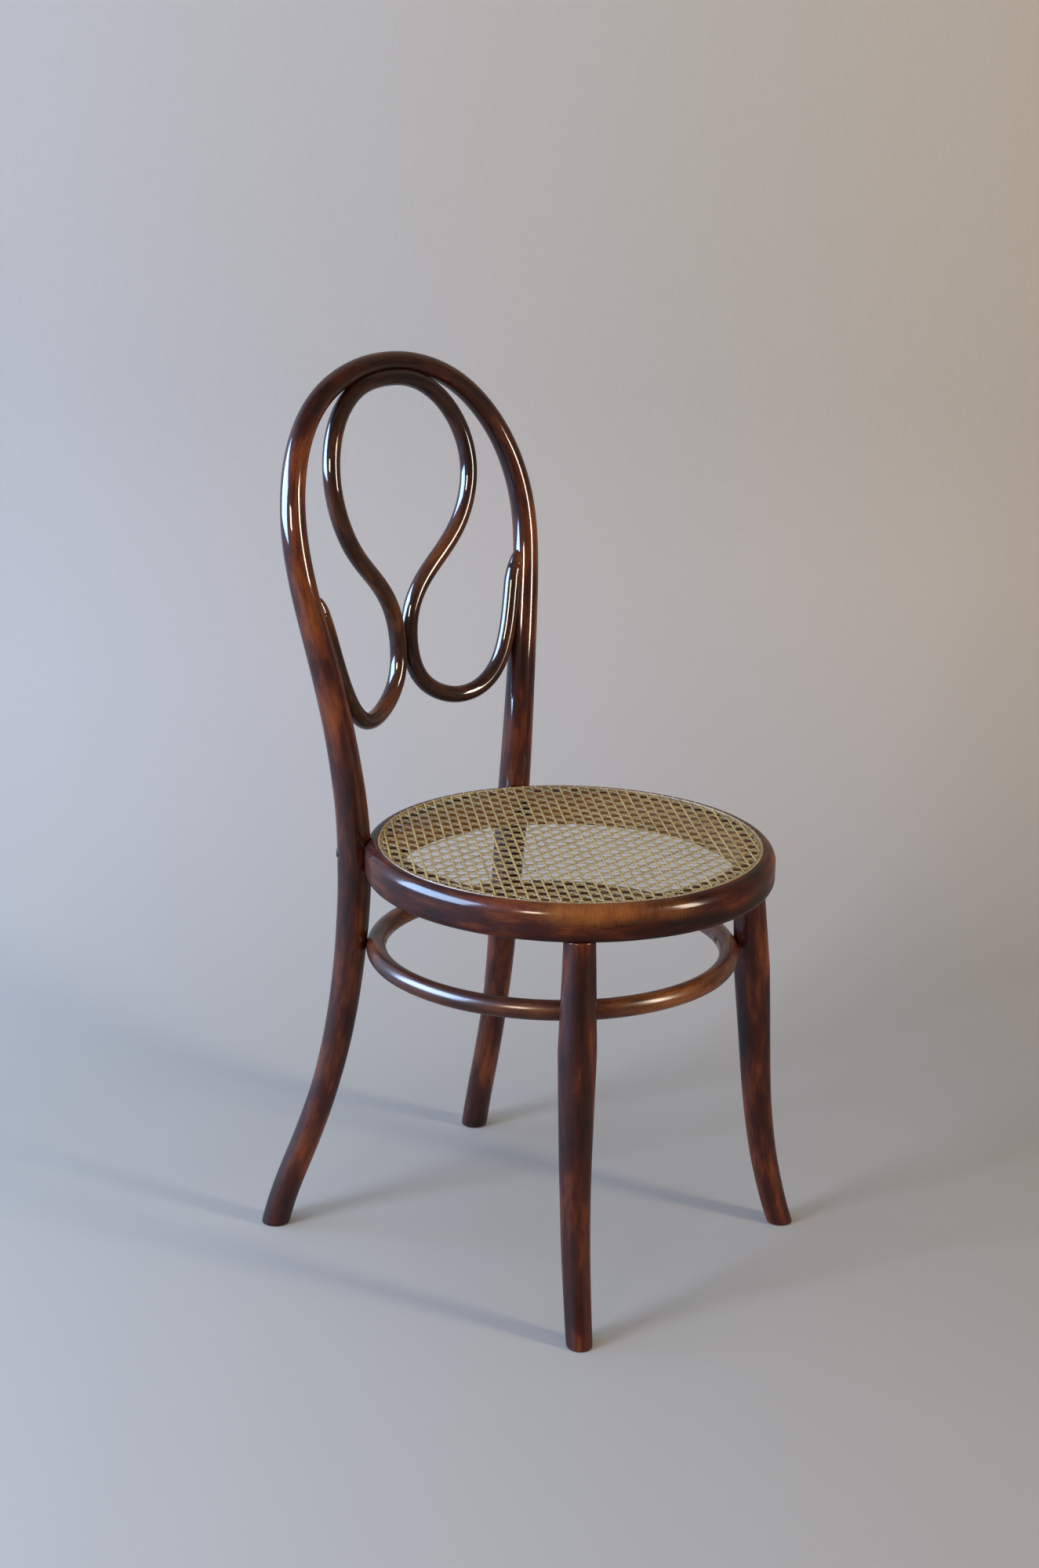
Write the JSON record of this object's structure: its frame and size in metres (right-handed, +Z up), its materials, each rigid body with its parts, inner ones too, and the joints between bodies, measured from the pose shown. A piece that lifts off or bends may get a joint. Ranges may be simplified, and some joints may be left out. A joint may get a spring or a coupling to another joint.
{
  "type": "bentwood chair",
  "caption": "Bentwood side chair: round caned seat, back hoop running down into the rear legs with a looped scroll inside it, splayed front legs, and a ring tying the legs.",
  "frame": {"origin": "on the floor, under the middle of the chair's width and depth", "axes": "+Z up, the chair faces -Y, +X is the sitter's left"},
  "size_m": [0.4224, 0.4834, 0.9222],
  "materials": {
    "stained_beech": "polished dark walnut stain",
    "cane": "natural woven cane, aged",
    "dark_steel": "darkened by age"
  },
  "bodies": {
    "root": {"back_hoop": "stained_beech", "back_scroll": "stained_beech", "seat_frame": "stained_beech", "leg_ring": "stained_beech", "front_leg_right": "stained_beech", "front_leg_left": "stained_beech", "cane_panel": "cane", "cane_binder": "cane", "seat_bolts": "dark_steel", "seat_bolt_washers": "dark_steel", "seat_bolt_nuts": "dark_steel", "leg_ring_screws": "dark_steel", "scroll_tip_screws": "dark_steel", "scroll_crown_screw": "dark_steel"}
  },
  "joints": []
}
